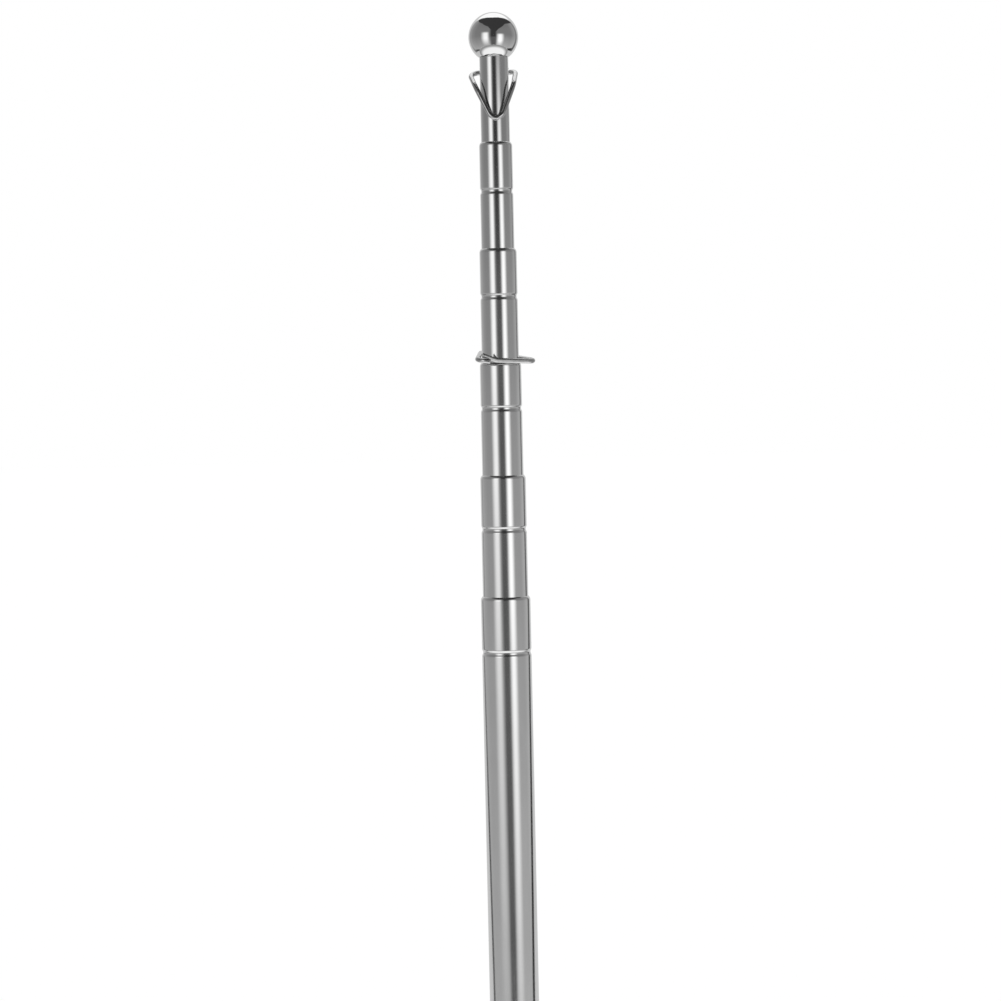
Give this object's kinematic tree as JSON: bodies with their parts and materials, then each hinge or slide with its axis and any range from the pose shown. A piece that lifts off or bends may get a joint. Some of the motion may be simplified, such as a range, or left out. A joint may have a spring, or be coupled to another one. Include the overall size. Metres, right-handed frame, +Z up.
{
  "type": "hand-held telescopic flagpole",
  "caption": "Slim telescopic steel flagpole of nested tubes with rolled grooves and turned-in mouths, a ball finial on top, and bent wire clips that hold a flag's edge.",
  "frame": {"origin": "centre of the flat bottom face of the end plug", "axes": "+Z up the pole towards the ball, -Y towards the side where the upper clip's apex lies, +X to the right seen from there"},
  "size_m": [0.023, 0.0295, 0.5255],
  "materials": {
    "tube_steel": "fine polish with faint draw lines along the tube",
    "ball_steel": "mirror polish",
    "clip_wire": "bright drawn spring wire",
    "plug_steel": "turned",
    "sleeve_brass": "rolled strip",
    "plug_plastic": "moulded, fine matt texture"
  },
  "bodies": {
    "butt_section": {"butt_tube": "tube_steel", "end_plug": "plug_plastic"},
    "second_section": {"second_tube": "tube_steel", "second_sleeve": "sleeve_brass"},
    "third_section": {"third_tube": "tube_steel", "third_sleeve": "sleeve_brass"},
    "fourth_section": {"fourth_tube": "tube_steel", "fourth_sleeve": "sleeve_brass"},
    "fifth_section": {"fifth_tube": "tube_steel", "fifth_sleeve": "sleeve_brass"},
    "tip_section": {"tip_tube": "tube_steel", "tip_sleeve": "sleeve_brass", "finial_plug": "plug_steel", "ball_finial": "ball_steel"},
    "upper_clip_body": {"upper_clip": "clip_wire"},
    "lower_clip_body": {"lower_clip": "clip_wire"}
  },
  "joints": [
    {"name": "second_slide", "type": "slide", "parent": "butt_section", "child": "second_section", "axis": [0, 0, 1], "range_m": [-0.0415, 0.2082]},
    {"name": "third_slide", "type": "slide", "parent": "second_section", "child": "third_section", "axis": [0, 0, 1], "range_m": [-0.0382, 0.2173]},
    {"name": "fourth_slide", "type": "slide", "parent": "third_section", "child": "fourth_section", "axis": [0, 0, 1], "range_m": [-0.0384, 0.2252]},
    {"name": "fifth_slide", "type": "slide", "parent": "fourth_section", "child": "fifth_section", "axis": [0, 0, 1], "range_m": [-0.0355, 0.2324]},
    {"name": "tip_slide", "type": "slide", "parent": "fifth_section", "child": "tip_section", "axis": [0, 0, 1], "range_m": [-0.0069, 0.2656]},
    {"name": "upper_clip_swivel", "type": "hinge", "parent": "tip_section", "child": "upper_clip_body", "pos_m": [0, 0, 0.5034], "axis": [0, 0, 1], "continuous": true},
    {"name": "lower_clip_swivel", "type": "hinge", "parent": "third_section", "child": "lower_clip_body", "pos_m": [0, 0, 0.39275], "axis": [0, 0, 1], "continuous": true}
  ]
}
